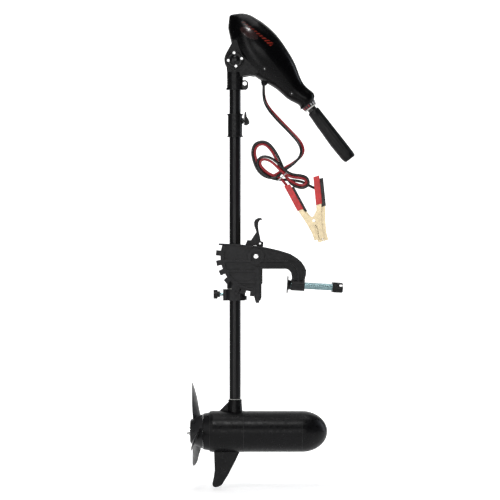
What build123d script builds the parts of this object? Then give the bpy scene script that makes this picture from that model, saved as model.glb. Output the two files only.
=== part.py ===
"""Transom-mounted electric trolling motor, built as separate parts in one frame.

Millimetres, +Z up, +X towards the boat. The origin is the corner where the bracket sits on the
top aft edge of the transom; Y = 0 is the middle plane.
"""
from build123d import *
from math import sin, cos, tan, radians, pi
import os

os.makedirs("parts", exist_ok=True)

# ---- driving dimensions ----
run_gap = 0.05  # radial running clearance on shafts and pins

shaft_x = -67.5  # shaft centreline
shaft_d = 28.0
shaft_bore = 24.0
shaft_top, shaft_bottom = 486.0, -350.0

tilt_x, tilt_z = -16.0, 30.8  # tilt pivot
notch_floor = 87.3  # radius of the arc between the teeth
notch_pitch = 15.0
cheek_in, cheek_out, rib_out = 27.0, 32.0, 38.0  # bracket cheek planes, each side of Y = 0
arm_out = 45.0

screw_y = 36.0  # clamp screws, each side of the middle
screw_d = 16.0
screw_slope = 3.3  # degrees the clamp screws point down
boss_x, boss_z, boss_len = 70.0, -39.4, 33.0

hinge_z = 513.0  # head hinge
neck_half = 20.0  # half width of the yoke knuckle

motor_z = -400.0
motor_r = 50.4
rotor_d = 10.0

axis_x, axis_z = 119.8, 395.1  # where the handle axis leaves the head
axis_dir = (0.6088, 0, -0.7933)
tube_d = 22.0
sleeve_d = 27.0

lead_d = 5.5
lead_y = -88.0  # plane the spare lead hangs in, on the near side

head_side = Plane(origin=(axis_x, 0, axis_z), x_dir=(-axis_dir[0], 0, -axis_dir[2]), z_dir=(0, 1, 0))
handle_axis = Plane(origin=(axis_x, 0, axis_z), x_dir=(0, 1, 0), z_dir=axis_dir)
motor_side = Plane(origin=(0, 0, motor_z), x_dir=(1, 0, 0), z_dir=(0, -1, 0))
motor_axis = Axis((0, 0, motor_z), (1, 0, 0))


def at_y(y):
    """Side-view plane whose extrusions grow towards -Y from this Y."""
    return Plane.XZ.offset(-y)


def across(x, z, y=0):
    """Plane square to Y, centred on this X and Z."""
    return Plane(origin=(x, y, z), x_dir=(1, 0, 0), z_dir=(0, -1, 0))


def polar(angle, radius, x=tilt_x, z=tilt_z):
    """Point in the side view; angle is measured up from the aft (-X) direction."""
    return (x - radius * cos(radians(angle)), z + radius * sin(radians(angle)))


def save(part, label):
    part.label = label
    export_step(part, f"parts/{label}.step")


# ================= transom bracket =================
top_line = [
    (-107.5, 62.5), (-55.4, 60.2), (-6.2, 55.6), (18.5, 50.6), (43.1, 44.8), (67.7, 37.0),
    (84.9, 26.4), (95.0, 17.5), (103.0, 6.0), (107.0, -4.0), (106.6, -13.0), (101.5, -35.0),
]
under_line = [(72.6, -35.0), (72.6, -20.2), (70.8, -10.3), (65.2, -3.0), (57.8, 0.0), (-7.0, 0.0)]
foot_line = [(-7.0, -77.0), (-9.0, -83.5), (-16.5, -83.5), (-18.5, -77.0)]


with BuildPart() as transom_bracket:
    for side in (-1, 1):
        near = side * cheek_in if side < 0 else side * cheek_out

        # cheek web with the notched arc
        with BuildSketch(at_y(near)):
            with BuildLine():
                Polyline(polar(18, notch_floor), (-101.5, 62.5), *top_line[1:], *under_line, *foot_line,
                         polar(-85, notch_floor))
                RadiusArc(polar(-85, notch_floor), polar(18, notch_floor), notch_floor)
            make_face()
        extrude(amount=cheek_out - cheek_in)
        with BuildSketch(at_y(near)):
            for k in range(7):
                angle = 5 - notch_pitch * k
                with Locations(Location((*polar(angle, 91.9), 0), -angle)):
                    Rectangle(13.0, 13.2)
        extrude(amount=cheek_out - cheek_in)

        # raised ribs on the outer face
        face = -cheek_out if side < 0 else rib_out
        with BuildSketch(at_y(face)):
            with BuildLine():
                Polyline((-107.5, 62.6), (-55.4, 60.2), (-6.2, 55.6), (-6.2, 51.4), (-55.4, 56.0),
                         (-107.5, 58.2), close=True)
            make_face()
            with Locations((tilt_x, tilt_z)):
                Circle(20.5)
            with BuildLine():
                Polyline((-96.0, 21.2), (-7.0, 21.2), (-7.0, 16.8), (-95.0, 16.8), close=True)
            make_face()
            with BuildLine():
                Polyline((-88.0, -3.4), (-12.0, -3.4), (-12.0, -7.8), (-86.5, -7.8), close=True)
            make_face()
            with BuildLine():
                Polyline((-66.0, -30.8), (-12.0, -30.8), (-12.0, -35.2), (-61.0, -35.2), close=True)
            make_face()
            with BuildLine():
                Polyline((-16.5, 4.4), (-7.0, 4.4), (-7.0, -77.0), (-9.0, -83.5), (-16.5, -83.5),
                         close=True)
            make_face()
        extrude(amount=rib_out - cheek_out)
        with BuildSketch(at_y(face)):
            with BuildLine():
                RadiusArc(polar(-85, 83.0), polar(18, 83.0), 83.0)
                Line(polar(18, 83.0), polar(18, 78.5))
                RadiusArc(polar(18, 78.5), polar(-85, 78.5), -78.5)
                Line(polar(-85, 78.5), polar(-85, 83.0))
            make_face()
        extrude(amount=rib_out - cheek_out)

        # arm rims: top, middle and underside bands out to the full arm width
        band = -cheek_out if side < 0 else arm_out
        with BuildSketch(at_y(band)):
            with BuildLine():
                Polyline(*top_line[2:], (96.5, -35.0), (101.8, -12.0), (102.0, -4.4), (98.6, 4.0),
                         (91.4, 14.0), (82.2, 22.2), (66.0, 32.6), (42.0, 40.2), (17.6, 46.0),
                         (-6.2, 51.2), close=True)
            make_face()
            with BuildLine():
                Polyline((-7.0, 4.4), (58.8, 4.4), (67.8, 0.6), (74.6, -7.6), (77.0, -19.6),
                         (77.0, -35.0), *under_line, close=True)
            make_face()
            with BuildLine():
                Polyline((-7.0, 21.2), (62.0, 21.2), (76.5, 14.5), (86.0, 3.5), (89.5, -10.0),
                         (89.5, -35.0), (85.5, -35.0), (85.5, -10.5), (82.3, 1.6), (74.0, 11.0),
                         (61.0, 16.8), (-7.0, 16.8), close=True)
            make_face()
        extrude(amount=arm_out - cheek_out)

    # web under the arms and the wall behind the transom pad
    with BuildSketch(Plane.XY):
        with Locations((19.25, 0)):
            Rectangle(71.5, 2 * cheek_in)
    extrude(amount=4.4)
    with BuildSketch(Plane.YZ.offset(-16.5)):
        with Locations((0, -38.5)):
            Rectangle(2 * cheek_in, 77.0)
    extrude(amount=9.5)

    # screw bosses at the arm ends
    for side in (-1, 1):
        boss = Plane(
            origin=(boss_x, side * screw_y, boss_z),
            x_dir=(0, 1, 0),
            z_dir=(cos(radians(screw_slope)), 0, -sin(radians(screw_slope))),
        )
        with BuildSketch(boss):
            Circle(13.4)
        extrude(amount=boss_len)
        with BuildSketch(boss):
            Circle(screw_d / 2 + run_gap)
        extrude(amount=boss_len, mode=Mode.SUBTRACT)

    # pivot hole and arched pockets for the bolt head and nut
    with BuildSketch(across(tilt_x, tilt_z, 60)):
        Circle(5.0)
    extrude(amount=120, mode=Mode.SUBTRACT)
    for start in (-33.5, rib_out):
        with BuildSketch(across(tilt_x, tilt_z, start)):
            Circle(11.6)
            with Locations((0, -5.8)):
                Rectangle(23.2, 11.6)
        extrude(amount=rib_out - 33.5, mode=Mode.SUBTRACT)
save(transom_bracket.part, "transom_bracket")

with BuildPart() as transom_pad:
    with BuildSketch(at_y(44.0)):
        with BuildLine():
            Polyline((-7, 0), (0, 0), (0, -36), (-2.4, -37.5), (-2.4, -70), (-5.2, -77), (-7, -77),
                     close=True)
        make_face()
    extrude(amount=88)
    fillet(transom_pad.edges().filter_by(Axis.X).sort_by(Axis.Z)[:2], 2)
save(transom_pad.part, "transom_pad")

with BuildPart() as pivot_bolt:
    with BuildSketch(across(tilt_x, tilt_z, 33.5)):
        Circle(5.0)
    extrude(amount=67)
    with BuildSketch(across(tilt_x, tilt_z, -33.5)):
        Circle(6.4)
    extrude(amount=4.2)
    chamfer(pivot_bolt.faces().sort_by(Axis.Y)[0].edges(), 1.0)
    with BuildSketch(across(tilt_x, tilt_z, -36.6)):
        Rectangle(12.8, 1.6)
    extrude(amount=2, mode=Mode.SUBTRACT)
    with BuildSketch(across(tilt_x, tilt_z, 38.5)):
        RegularPolygon(8.0, 6)
        Circle(5.0, mode=Mode.SUBTRACT)
    extrude(amount=5.0)
    with BuildSketch(across(tilt_x, tilt_z, 40.5)):
        Circle(5.0)
    extrude(amount=7.0)
save(pivot_bolt.part, "pivot_bolt")

# ================= clamp screws =================
for name, side in (("left", -1), ("right", 1)):
    line = Plane(
        origin=(boss_x, side * screw_y, boss_z),
        x_dir=(0, 1, 0),
        z_dir=(cos(radians(screw_slope)), 0, -sin(radians(screw_slope))),
    )
    with BuildPart() as clamp_pad:
        with BuildSketch(line.offset(-9.6)):
            Circle(21.0)
        extrude(amount=2.2)
        with BuildSketch(line.offset(-7.4)):
            Circle(12.5)
        extrude(amount=6.4, taper=14)
        with BuildSketch(line.offset(-5.2)):
            Circle(5.0 + run_gap)
        extrude(amount=6.0, mode=Mode.SUBTRACT)
        fillet(clamp_pad.edges().sort_by_distance(line.offset(-9.6).origin)[-1], 0.6)
    save(clamp_pad.part, f"clamp_pad_{name}")

    with BuildPart() as clamp_screw:
        with BuildSketch(line.offset(-5.0)):
            Circle(5.0)
        extrude(amount=5.0)
        with BuildSketch(line):
            Circle(screw_d / 2)
        extrude(amount=112)
        chamfer(clamp_screw.faces().sort_by(Axis.X)[-1].edges(), 1.2)
    save(clamp_screw.part, f"clamp_screw_{name}")

    with BuildPart() as clamp_handle:
        with BuildSketch(line.offset(101.0)):
            RectangleRounded(50, 24.5, 9)
        extrude(amount=26.0)
        fillet(clamp_handle.faces().sort_by(Axis.X)[-1].edges(), 4)
        with BuildSketch(line.offset(101.0)):
            Circle(screw_d / 2)
        extrude(amount=11.0, mode=Mode.SUBTRACT)
        slot = line.location * Location((0, 5.2, 122.4))
        with Locations(slot):
            Box(60, 5.2, 9.0, mode=Mode.SUBTRACT)
        with Locations(line.location * Location((19, 0, 108.0)), line.location * Location((-19, 0, 108.0))):
            Box(13, 30, 8.0, mode=Mode.SUBTRACT)
    save(clamp_handle.part, f"clamp_handle_{name}")

# ================= tilting yoke =================
with BuildPart() as swivel_housing:
    with BuildSketch(Plane.XY.offset(-48)):
        with Locations((shaft_x, 0)):
            Circle(20)
    extrude(amount=105)
    with BuildSketch(at_y(11)):
        with BuildLine():
            Polyline((shaft_x, 44), (-22, 44), (-12, 62), (-6, 69), (2, 66), (2, 58), (-2, 42), (-4, 20),
                     (-26, 12), (-50, -20), (shaft_x, -30), close=True)
        make_face()
    extrude(amount=22)
    with BuildSketch(across(tilt_x, tilt_z, 26.6)):
        Circle(11)
    extrude(amount=53.2)
    with BuildSketch(across(tilt_x, tilt_z, 30)):
        Circle(5.0 + run_gap)
    extrude(amount=60, mode=Mode.SUBTRACT)
    with BuildSketch(Plane.XY.offset(-48)):
        with Locations((shaft_x, 0)):
            Circle(16)
    extrude(amount=105, mode=Mode.SUBTRACT)
    # the ear that carries the lever is narrower than the web
    for y in (-8.5, 8.5):
        with Locations((-8, y, 60)):
            Box(34, 7.0, 30, mode=Mode.SUBTRACT)
    with BuildSketch(across(-6, 62, 12)):
        Circle(2.5)
    extrude(amount=24, mode=Mode.SUBTRACT)
save(swivel_housing.part, "swivel_housing")

with BuildPart() as steering_bushes:
    for base, flange in ((27.0, 57.0), (-48.0, -50.0)):
        with BuildSketch(Plane.XY.offset(base)):
            with Locations((shaft_x, 0)):
                Circle(16 - run_gap)
        extrude(amount=30)
        with BuildSketch(Plane.XY.offset(flange)):
            with Locations((shaft_x, 0)):
                Circle(19)
        extrude(amount=2)
    with BuildSketch(Plane.XY.offset(-60)):
        with Locations((shaft_x, 0)):
            Circle(shaft_d / 2 + run_gap)
    extrude(amount=130, mode=Mode.SUBTRACT)
save(steering_bushes.part, "steering_bushes")

collar_low, collar_high = -78.0, -50.0
knob_z = -62.5
with BuildPart() as tension_collar:
    with BuildSketch(Plane.XY.offset(collar_low)):
        with Locations((shaft_x, 0)):
            Circle(25.0)
        with Locations((-88.0, 0)):
            Rectangle(18, 26)
    extrude(amount=collar_high - collar_low)
    with BuildSketch(Plane.XY.offset(collar_low)):
        with Locations((shaft_x, 0)):
            Rectangle(70, 43, mode=Mode.ADD)
    extrude(amount=collar_high - collar_low, mode=Mode.INTERSECT)
    with BuildSketch(Plane.XY.offset(collar_low)):
        with Locations((shaft_x, 0)):
            Circle(shaft_d / 2 + run_gap)
    extrude(amount=collar_high - collar_low, mode=Mode.SUBTRACT)
    with Locations((-41.5, 0, -71.5)):
        Box(6.0, 13, 10)
    with BuildSketch(Plane.YZ.offset(-98)):
        with Locations((0, knob_z)):
            Circle(4 + run_gap)
    extrude(amount=18, mode=Mode.SUBTRACT)
    # the saw cut that lets the collar close on the shaft
    with Locations((-84.6, 0, -64)):
        Box(2.2, 27, 17, mode=Mode.SUBTRACT)
    # side tongues that tie the collar to the housing above it
    for y in (-20.3, 20.3):
        with Locations((shaft_x, y, -49)):
            Box(16, 2.2, 2.0)
save(tension_collar.part, "tension_collar")

with BuildPart() as tension_screw:
    with BuildSketch(Plane.YZ.offset(-112)):
        with Locations((0, knob_z)):
            Circle(4.0)
    extrude(amount=26)
save(tension_screw.part, "tension_screw")

with BuildPart() as tension_knob:
    with BuildSketch(Plane.YZ.offset(-120.5)):
        with Locations((0, knob_z)):
            Circle(9.6)
            with PolarLocations(8.9, 6):
                Circle(3.4)
    extrude(amount=10)
    with BuildSketch(Plane.YZ.offset(-110.5)):
        with Locations((0, knob_z)):
            Circle(7.5)
    extrude(amount=6)
    with BuildSketch(Plane.YZ.offset(-112)):
        with Locations((0, knob_z)):
            Circle(4.0)
    extrude(amount=10, mode=Mode.SUBTRACT)
save(tension_knob.part, "tension_knob")

# ---- tilt lock ----
lock_angle = -62.5
pin_x, pin_z = polar(lock_angle, 103.6)
with BuildPart() as lock_fork:
    for start in (26.0, -22.8):
        with BuildSketch(at_y(start)):
            with BuildLine():
                Polyline((-46, 52), (-33, 52), (-33, 44), (pin_x + 7, pin_z + 4), (pin_x + 5, pin_z - 6),
                         (pin_x - 5, pin_z - 6), (pin_x - 7, pin_z + 4), close=True)
            make_face()
        extrude(amount=3.2)
    with Locations((-39, 0, 49.2)):
        Box(11, 52, 5.6)
    for start in (34.0, -22.8):
        with BuildSketch(across(pin_x, pin_z, start)):
            Circle(4.0)
        extrude(amount=11.2)
save(lock_fork.part, "lock_fork")

with BuildPart() as release_lever:
    # upright blade with the finger hook
    with BuildSketch(at_y(11)):
        with BuildLine():
            Polyline((-15.5, 92), (-20.5, 106), (-21.0, 114), (-18.0, 121), (-11.0, 125), (-3.5, 125.2),
                     (0.0, 121.0), (-6.5, 119.5), (-10.0, 114), (-10.6, 104), (-9.2, 92), (-6.0, 78),
                     (-3.2, 62), (-3.2, 57.4), (-8.8, 57.4), (-9.5, 70), (-13, 80), close=True)
        make_face()
    extrude(amount=22)
    # gusset and stepped toe over the lock fork
    with BuildSketch(at_y(11)):
        with BuildLine():
            Polyline((-13.5, 93), (-28.5, 70.5), (-37.5, 70.5), (-42.5, 58), (-44.5, 52.4), (-34.5, 52.4),
                     (-30, 57.4), (-8.8, 57.4), (-8.8, 70), close=True)
        make_face()
    extrude(amount=22)
    # room for the ear, hinge hole and webs
    with Locations((-10, 0, 62)):
        Box(38, 10.6, 26, mode=Mode.SUBTRACT)
    with BuildSketch(across(-6, 62, 12)):
        Circle(5.6)
    extrude(amount=6.7)
    with BuildSketch(across(-6, 62, -5.3)):
        Circle(5.6)
    extrude(amount=6.7)
    with BuildSketch(across(-6, 62, 14)):
        Circle(2.5 + run_gap)
    extrude(amount=28, mode=Mode.SUBTRACT)
save(release_lever.part, "release_lever")

with BuildPart() as lever_pin:
    with BuildSketch(across(-6, 62, 13)):
        Circle(2.5)
    extrude(amount=26)
save(lever_pin.part, "lever_pin")

# ================= shaft, depth collar and head yoke =================
with BuildPart() as shaft_tube:
    with BuildSketch(Plane.XY.offset(shaft_bottom)):
        with Locations((shaft_x, 0)):
            Circle(shaft_d / 2)
            Circle(shaft_bore / 2, mode=Mode.SUBTRACT)
    extrude(amount=shaft_top - shaft_bottom)
save(shaft_tube.part, "shaft_tube")

with BuildPart() as depth_collar:
    with BuildSketch(Plane.XY.offset(324)):
        with Locations((shaft_x, 0)):
            Circle(17.8)
    extrude(amount=57)
    for z in (324, 377.5):
        with BuildSketch(Plane.XY.offset(z)):
            with Locations((shaft_x, 0)):
                Circle(19.5)
        extrude(amount=3.5)
    with BuildSketch(Plane.YZ.offset(shaft_x + 14)):
        with Locations((0, 364)):
            Circle(7.0)
    extrude(amount=7.5)
    with BuildSketch(Plane.XY.offset(320)):
        with Locations((shaft_x, 0)):
            Circle(shaft_d / 2 + run_gap)
    extrude(amount=70, mode=Mode.SUBTRACT)
    with BuildSketch(Plane.YZ.offset(shaft_x)):
        with Locations((0, 364)):
            Circle(3 + run_gap)
    extrude(amount=30, mode=Mode.SUBTRACT)
save(depth_collar.part, "depth_collar")

with BuildPart() as wing_screw:
    with BuildSketch(Plane.YZ.offset(-53.0)):
        with Locations((0, 364)):
            Circle(3.0)
    extrude(amount=9)
    with BuildSketch(Plane.YZ.offset(-45.4)):
        with Locations((0, 364)):
            Circle(7.2)
    extrude(amount=5)
    with BuildSketch(at_y(4)):
        with BuildLine():
            Polyline((-45.4, 353), (-39, 352.5), (-32.2, 357), (-32.2, 363), (-35, 369), (-38.5, 374),
                     (-40.5, 386), (-43.5, 386), (-45.4, 376), close=True)
        make_face()
    extrude(amount=8)
    fillet(wing_screw.edges().filter_by(Axis.Y), 1.0)
save(wing_screw.part, "wing_screw")

with BuildPart() as head_yoke:
    with BuildSketch(Plane.XY.offset(440)):
        with Locations((shaft_x, 0)):
            Circle(20.0)
    extrude(amount=47)
    with BuildSketch(Plane.XY.offset(440)):
        with Locations((shaft_x, 0)):
            Circle(21.8)
    extrude(amount=5)
    with BuildSketch(at_y(neck_half)):
        with BuildLine():
            Polyline((shaft_x - 20, 484), (shaft_x - 22, hinge_z), (shaft_x + 22, hinge_z),
                     (shaft_x + 17, 484), close=True)
        make_face()
    extrude(amount=2 * neck_half)
    with BuildSketch(across(shaft_x, hinge_z, neck_half)):
        Circle(22.0)
    extrude(amount=2 * neck_half)
    with BuildSketch(across(-43.5, 452, 11)):
        SlotCenterToCenter(6.5, 17, rotation=90)
    extrude(amount=22)
    with Locations((-50, 0, 452)):
        Box(14, 22, 22)
    with BuildSketch(Plane.XY.offset(430)):
        with Locations((shaft_x, 0)):
            Circle(shaft_d / 2)
    extrude(amount=shaft_top - 430, mode=Mode.SUBTRACT)
    for z in (452.5, 459.0, 465.5):
        with BuildSketch(Plane.XY.offset(z)):
            with Locations((shaft_x, 0)):
                Circle(21)
                Circle(19.2, mode=Mode.SUBTRACT)
        extrude(amount=1.6, mode=Mode.SUBTRACT)
    with BuildSketch(across(shaft_x, hinge_z, 30)):
        Circle(12.0)
    extrude(amount=60, mode=Mode.SUBTRACT)
    with Locations((-46, 0, 450)):
        Box(26, 2.4, 36, mode=Mode.SUBTRACT)
    with BuildSketch(across(-43.5, 455.3, 20)):
        Circle(3.0)
    extrude(amount=40, mode=Mode.SUBTRACT)
save(head_yoke.part, "head_yoke")

with BuildPart() as yoke_bolt:
    with BuildSketch(across(-43.5, 455.3, 15)):
        Circle(3.0)
    extrude(amount=30)
    with BuildSketch(across(-43.5, 455.3, -11)):
        Circle(5.2)
    extrude(amount=4)
    with BuildSketch(across(-43.5, 455.3, 15)):
        RegularPolygon(5.6, 6)
        Circle(3.0, mode=Mode.SUBTRACT)
    extrude(amount=4)
save(yoke_bolt.part, "yoke_bolt")

# ================= motor pod =================
def turned(points):
    """Revolve a side-view outline, given as x and radius, about the motor axis."""
    with BuildSketch(motor_side) as outline:
        with BuildLine():
            Polyline(*points, close=True)
        make_face()
    revolve(outline.sketch, axis=motor_axis)


with BuildPart() as motor_hull:
    turned([(-46.5, motor_r), (97, motor_r), (97, 47.6), (-46.5, 47.6)])
save(motor_hull.part, "motor_hull")

nose_len = 62.4
with BuildPart() as nose_cone:
    with BuildSketch(motor_side):
        with BuildLine():
            Line((97, 0), (97, motor_r))
            EllipticalCenterArc((97, 0), nose_len, motor_r, start_angle=0, arc_size=90)
            Line((97 + nose_len, 0), (97, 0))
        make_face()
    revolve(axis=motor_axis)
    with BuildSketch(motor_side):
        with BuildLine():
            Line((97, 0), (97, 46.0))
            EllipticalCenterArc((97, 0), nose_len - 5, 46.0, start_angle=0, arc_size=90)
            Line((97 + nose_len - 5, 0), (97, 0))
        make_face()
    revolve(axis=motor_axis, mode=Mode.SUBTRACT)
    turned([(88, 47.6), (97, 47.6), (97, 12.0), (92, 12.0), (92, 44.5), (88, 44.5)])
    turned([(80, 17.0), (92, 17.0), (92, 13.0), (80, 13.0)])
save(nose_cone.part, "nose_cone")

with BuildPart() as tail_housing:
    turned([(-46.5, 51.0), (-122, 51.0), (-129.5, 49.6), (-129.5, 47.4), (-146, 44.0), (-146, 15.0),
            (-135, 15.0), (-135, 40.0), (-124, 44.5), (-55, 47.6), (-46.5, 47.6)])
    turned([(-135, 15.0), (-135, 20.0), (-118, 20.0), (-118, 13.0), (-135, 13.0)])
    with BuildSketch(Plane.XY.offset(motor_z + 40)):
        with Locations((shaft_x, 0)):
            Circle(shaft_d / 2)
    extrude(amount=20, mode=Mode.SUBTRACT)
save(tail_housing.part, "tail_housing")

with BuildPart() as shaft_socket:
    with BuildSketch(Plane.XY.offset(-358)):
        with Locations((shaft_x, 0)):
            Circle(18.7)
    with BuildSketch(Plane.XY.offset(-325)):
        with Locations((shaft_x, 0)):
            Circle(16.4)
    loft()
    with BuildSketch(Plane.XY.offset(-325)):
        with Locations((shaft_x, 0)):
            Circle(16.9)
    extrude(amount=3.5)
    with BuildSketch(at_y(2.5)):
        with BuildLine():
            Polyline((-107, -350.5), (-84, -327), (-80, -327), (-80, -358), (-107, -358), close=True)
        make_face()
    extrude(amount=5)
    with BuildSketch(Plane.XY.offset(-360)):
        with Locations((shaft_x, 0)):
            Circle(shaft_d / 2)
    extrude(amount=60, mode=Mode.SUBTRACT)
    with BuildSketch(Plane.YZ.offset(-122)):
        with Locations((0, motor_z)):
            Circle(51.0)
    extrude(amount=80, mode=Mode.SUBTRACT)
save(shaft_socket.part, "shaft_socket")

with BuildPart() as skeg:
    with BuildSketch(at_y(2.6)):
        with BuildLine():
            Polyline((-119.5, -446), (-118.5, -470), (-117.5, -495), (-120.5, -516), (-123, -526))
            Spline((-123, -526), (-119.5, -536.5), (-108, -536), (-97, -527))
            Polyline((-97, -527), (-84, -506), (-69.5, -478), (-56, -450), (-56, -446), (-119.5, -446))
        make_face()
    extrude(amount=5.2)
    with BuildSketch(Plane.YZ.offset(-130)):
        with Locations((0, motor_z)):
            Circle(51.0)
    extrude(amount=90, mode=Mode.SUBTRACT)
save(skeg.part, "skeg")

with BuildPart() as magnets:
    for start in (40, 220):
        with BuildSketch(Plane.YZ.offset(-30)):
            with Locations((0, motor_z)):
                Circle(47.6)
                Circle(36.0, mode=Mode.SUBTRACT)
            with Locations(Location((0, motor_z, 0), start - 40 + 90)):
                Rectangle(110, 60, mode=Mode.INTERSECT)
        extrude(amount=80)
save(magnets.part, "magnets")

with BuildPart() as brush_gear:
    with BuildSketch(Plane.YZ.offset(76)):
        with Locations((0, motor_z)):
            Circle(44.0)
            Circle(18.0, mode=Mode.SUBTRACT)
    extrude(amount=4)
    for a in (0, 180):
        with Locations(Plane.YZ.location * Location((0, motor_z, 69), (0, 0, a)) * Location((21.4, 0, 0))):
            Box(12, 8, 14)
save(brush_gear.part, "brush_gear")

with BuildPart() as bearings:
    for x in (80, -130):
        with BuildSketch(Plane.YZ.offset(x)):
            with Locations((0, motor_z)):
                Circle(13.0)
                Circle(rotor_d / 2, mode=Mode.SUBTRACT)
        extrude(amount=9)
save(bearings.part, "bearings")

# ---- rotor and propeller ----
with BuildPart() as rotor_shaft:
    with BuildSketch(Plane.YZ.offset(-186)):
        with Locations((0, motor_z)):
            Circle(rotor_d / 2 - run_gap)
    extrude(amount=277)
    chamfer(rotor_shaft.faces().sort_by(Axis.X)[-1].edges(), 0.8)
save(rotor_shaft.part, "rotor_shaft")

with BuildPart() as armature_core:
    with BuildSketch(Plane.YZ.offset(-28)):
        with Locations((0, motor_z)):
            Circle(34.5)
            with PolarLocations(32, 12):
                Rectangle(9, 4.5, mode=Mode.SUBTRACT)
            Circle(rotor_d / 2 - run_gap, mode=Mode.SUBTRACT)
    extrude(amount=70)
save(armature_core.part, "armature_core")

with BuildPart() as armature_windings:
    turned([(42, 30), (52, 27), (56, 18), (56, 14), (42, 14)])
    turned([(-28, 30), (-38, 27), (-42, 18), (-42, 14), (-28, 14)])
    turned([(56, 15), (75, 15), (75, rotor_d / 2 - run_gap), (56, rotor_d / 2 - run_gap)])
save(armature_windings.part, "armature_windings")

hub_front, hub_back = -147.0, -178.0
blade_rows = [  # radius, x of the chord middle, chord, thickness, pitch from the disc plane
    (24.0, -161.0, 34.0, 5.6, 34.0),
    (52.0, -163.5, 46.0, 4.2, 24.0),
    (85.0, -167.0, 44.0, 3.0, 17.0),
    (110.0, -170.5, 28.0, 2.2, 13.0),
    (122.0, -172.6, 10.0, 1.4, 11.0),
]
with BuildPart() as propeller:
    for turn in (15, 135, 255):
        for radius, x_mid, chord, thick, pitch in blade_rows:
            a, p = radians(turn), radians(pitch)
            out = Vector(0, sin(a), cos(a))
            side = Vector(0, cos(a), -sin(a))
            origin = Vector(x_mid, 0, motor_z) + out * radius
            with BuildSketch(Plane(origin=origin, x_dir=Vector(sin(p), 0, 0) + side * cos(p), z_dir=out)):
                Ellipse(chord / 2, thick / 2)
        loft()
    turned([(hub_front, 0), (hub_front, 42.5), (-154, 40), (-168, 33.5), (-176, 29.5), (hub_back, 26),
            (hub_back, 0)])
    with BuildSketch(Plane.YZ.offset(hub_front - 6.5)):
        with Locations((0, motor_z)):
            Circle(36)
            Circle(10, mode=Mode.SUBTRACT)
    extrude(amount=6.5, mode=Mode.SUBTRACT)
    with BuildSketch(Plane.YZ.offset(hub_back)):
        with Locations((0, motor_z)):
            Circle(rotor_d / 2 - run_gap)
    extrude(amount=40, mode=Mode.SUBTRACT)
save(propeller.part, "propeller")

with BuildPart() as prop_nut:
    with BuildSketch(Plane.YZ.offset(hub_back - 2)):
        with Locations((0, motor_z)):
            Circle(11)
            Circle(rotor_d / 2 - run_gap, mode=Mode.SUBTRACT)
    extrude(amount=2)
    with BuildSketch(Plane.YZ.offset(hub_back - 9)):
        with Locations((0, motor_z)):
            RegularPolygon(8.6, 6)
            Circle(rotor_d / 2 - run_gap, mode=Mode.SUBTRACT)
    extrude(amount=7)
save(prop_nut.part, "prop_nut")

# ================= control head =================
# distance up the handle axis, middle and half height in the side view, half width
head_rows = [
    (13.0, -2.9, 21.7, 21.0), (47.0, -3.4, 26.4, 24.5), (85.0, -5.5, 33.0, 30.0),
    (112.0, -6.6, 42.0, 36.5), (140.0, -10.4, 50.2, 42.0), (168.0, -12.2, 54.2, 46.0),
    (195.0, -13.0, 55.0, 47.5), (222.0, -13.6, 51.8, 46.0), (248.0, -13.4, 44.6, 41.0),
]
crown_rows = [
    head_rows[-1], (256.0, -13.2, 41.2, 38.2), (264.0, -12.8, 37.7, 35.2), (272.0, -12.6, 34.0, 32.0),
    (280.0, -13.4, 29.4, 28.2), (287.0, -13.7, 23.3, 23.0), (293.0, -14.7, 16.3, 16.8),
    (298.0, -16.5, 9.5, 10.4), (302.0, -18.5, 3.5, 4.5),
]
inner_end = 295.0  # the hollow stops short of the crown
seam = [(8.0, -5.0), (180.0, -7.5), (215.0, -13.0), (238.0, -24.0), (252.0, -49.0), (250.0, -80.0),
        (330.0, -80.0), (330.0, 70.0), (8.0, 70.0)]


def head_form(wall):
    """Solid of the head along the handle axis, less a wall thickness."""
    with BuildPart() as form:
        for rows, ruled in ((head_rows, False), (crown_rows, True)):
            sections = []
            for along, middle, height, width in rows:
                if wall and along > inner_end:
                    continue
                with BuildSketch(handle_axis.offset(-along)) as section:
                    with Locations((0, middle)):
                        Ellipse(width - wall, height - wall)
                sections.append(section.sketch)
            loft(sections, ruled=ruled)
    return form.part


def seam_tool():
    """Everything above the parting line between cover and housing."""
    with BuildPart() as tool:
        with BuildSketch(head_side.offset(-60)):
            with BuildLine():
                Polyline(*seam, close=True)
            make_face()
        extrude(amount=120)
    return tool.part


def screw_spots():
    """The four screws of each hinge disc."""
    return PolarLocations(16.5, 4, start_angle=8)


head_outer = head_form(0)
head_inner = head_form(2.8)
above_seam = seam_tool()

# oval meter window, let into the near side of the cover
window_at = Plane(origin=(-33.0, 0, 577.0), x_dir=(0.853, 0, -0.522), z_dir=(0, -1, 0))
with BuildPart() as window_tool:
    with BuildSketch(window_at):
        Ellipse(25, 10.5)
    extrude(amount=70)

with BuildPart() as meter_panel:
    add(head_outer)
    add(head_inner, mode=Mode.SUBTRACT)
    add(window_tool.part, mode=Mode.INTERSECT)
save(meter_panel.part, "meter_panel")

with BuildPart() as head_cover:
    add(head_outer)
    add(head_inner, mode=Mode.SUBTRACT)
    add(above_seam, mode=Mode.INTERSECT)
    add(window_tool.part, mode=Mode.SUBTRACT)
save(head_cover.part, "head_cover")

cheek_gap, cheek_face = neck_half + 0.4, 31.0
with BuildPart() as snout_bearing:
    with BuildSketch(handle_axis.offset(-34)):
        Circle(18)
        Circle(sleeve_d / 2 + run_gap, mode=Mode.SUBTRACT)
    extrude(amount=21)
    add(head_inner, mode=Mode.INTERSECT)

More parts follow.
